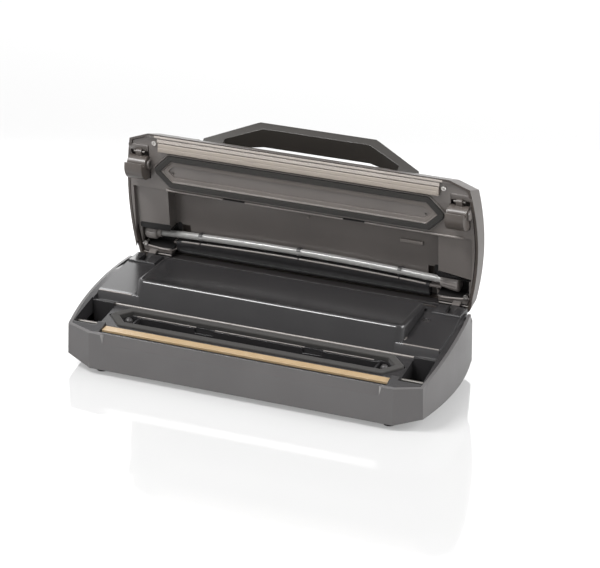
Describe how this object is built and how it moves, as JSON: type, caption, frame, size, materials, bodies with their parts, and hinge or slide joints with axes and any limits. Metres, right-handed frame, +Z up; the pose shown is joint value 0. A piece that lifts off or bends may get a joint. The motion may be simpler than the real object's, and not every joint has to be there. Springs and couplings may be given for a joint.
{
  "type": "vacuum sealer",
  "caption": "Table-top kitchen vacuum sealer with a swinging lid, heated seal strip, trough with foam gaskets, press handle with turning claws and a stored hose.",
  "frame": {"origin": "centre of the bounding box, on the table under the feet", "axes": "+Z up, +X along the length to the right, +Y from the front to the hinge"},
  "size_m": [0.3894, 0.203, 0.2142],
  "materials": {
    "housing": "fine satin spark texture, warm anthracite",
    "deck": "satin moulded plastic",
    "liner": "satin moulded plastic, warm brown-grey",
    "box": "soft sheen black plastic",
    "gasket": "closed-cell foam",
    "silicone": "satin silicone",
    "ptfe_tape": "woven glass tape with non-stick coating",
    "heater": "dark heat-proof carrier",
    "wire_metal": "flat resistance strip",
    "steel": "turned steel",
    "pad_rubber": "matte rubber",
    "tray_plastic": "smooth dark plastic",
    "trim": "pale satin trim",
    "hose_plastic": "soft clear tubing",
    "fitting": "ribbed dark plastic",
    "panel": "smooth membrane panel",
    "button": "satin key cap",
    "lens": "translucent lens",
    "board": "circuit board",
    "inner_metal": "plated steel",
    "inner_plastic": "plain moulding",
    "handle_plastic": "satin moulded plastic",
    "claw_plastic": "satin moulded plastic"
  },
  "bodies": {
    "base": {"base_shell": "housing", "bottom_plate": "housing", "bottom_screws": "steel", "feet": "pad_rubber", "base_deck": "deck", "raised_cover": "box", "hinge_covers": "deck", "hinge_pins": "steel", "latch_keepers": "steel", "lower_gasket": "gasket", "heater_bar": "heater", "heater_wire": "wire_metal", "seal_strip": "ptfe_tape", "suction_ports": "tray_plastic", "vacuum_pump": "inner_plastic", "pump_motor": "inner_metal", "pump_tube": "inner_plastic", "transformer": "inner_metal", "power_board": "board", "inlet_socket": "tray_plastic", "inlet_pins": "steel", "lid_switch": "tray_plastic"},
    "lid": {"lid_shell": "housing", "lid_liner": "liner", "chamber_plate": "liner", "upper_gasket": "gasket", "seal_bar": "silicone", "front_trim": "trim", "lid_screws": "steel", "hose": "hose_plastic", "hose_connector": "fitting", "hose_adapter": "fitting", "hose_clips": "liner", "control_panel": "panel", "control_board": "board", "led_lenses": "lens", "claw_shafts": "steel", "handle_pins": "steel"},
    "drip_tray": {"drip_tray": "tray_plastic"},
    "handle": {"handle": "handle_plastic"},
    "claw_left": {"claw_left": "claw_plastic", "claw_pin_left": "steel"},
    "claw_right": {"claw_right": "claw_plastic", "claw_pin_right": "steel"},
    "vacuum_button": {"vacuum_button": "button"},
    "seal_button": {"seal_button": "button"},
    "pulse_button": {"pulse_button": "button"},
    "food_button": {"food_button": "button"}
  },
  "joints": [
    {"name": "lid_hinge", "type": "hinge", "parent": "base", "child": "lid", "pos_m": [0, 0.04765, 0.05808], "axis": [1, 0, 0], "range_deg": [0, 91.2]},
    {"name": "tray_lift", "type": "slide", "parent": "base", "child": "drip_tray", "axis": [0, 0, -1], "range_m": [-0.03, 0]},
    {"name": "handle_press", "type": "hinge", "parent": "lid", "child": "handle", "pos_m": [0, 0.06472, 0.15492], "axis": [1, 0, 0], "range_deg": [0, 8], "stiffness_Nm_per_rad": 0.5, "springref_deg": -10},
    {"name": "claw_left_turn", "type": "hinge", "parent": "lid", "child": "claw_left", "pos_m": [-0.171, 0.04021, 0.17294], "axis": [1, 0, 0], "range_deg": [-42, 0]},
    {"name": "claw_right_turn", "type": "hinge", "parent": "lid", "child": "claw_right", "pos_m": [0.171, 0.04021, 0.17294], "axis": [1, 0, 0], "range_deg": [-42, 0]},
    {"name": "vacuum_press", "type": "slide", "parent": "lid", "child": "vacuum_button", "axis": [0, -0.9918, -0.1278], "range_m": [0, 0.001], "stiffness_N_per_m": 400, "springref_m": -0.0008},
    {"name": "seal_press", "type": "slide", "parent": "lid", "child": "seal_button", "axis": [0, -0.9918, -0.1278], "range_m": [0, 0.001], "stiffness_N_per_m": 400, "springref_m": -0.0008},
    {"name": "pulse_press", "type": "slide", "parent": "lid", "child": "pulse_button", "axis": [0, -0.9918, -0.1278], "range_m": [0, 0.001], "stiffness_N_per_m": 400, "springref_m": -0.0008},
    {"name": "food_press", "type": "slide", "parent": "lid", "child": "food_button", "axis": [0, -0.9918, -0.1278], "range_m": [0, 0.001], "stiffness_N_per_m": 400, "springref_m": -0.0008}
  ],
  "couplings": [
    {"joint": "claw_left_turn", "follows": "handle_press", "ratio": -5.25},
    {"joint": "claw_right_turn", "follows": "handle_press", "ratio": -5.25}
  ]
}
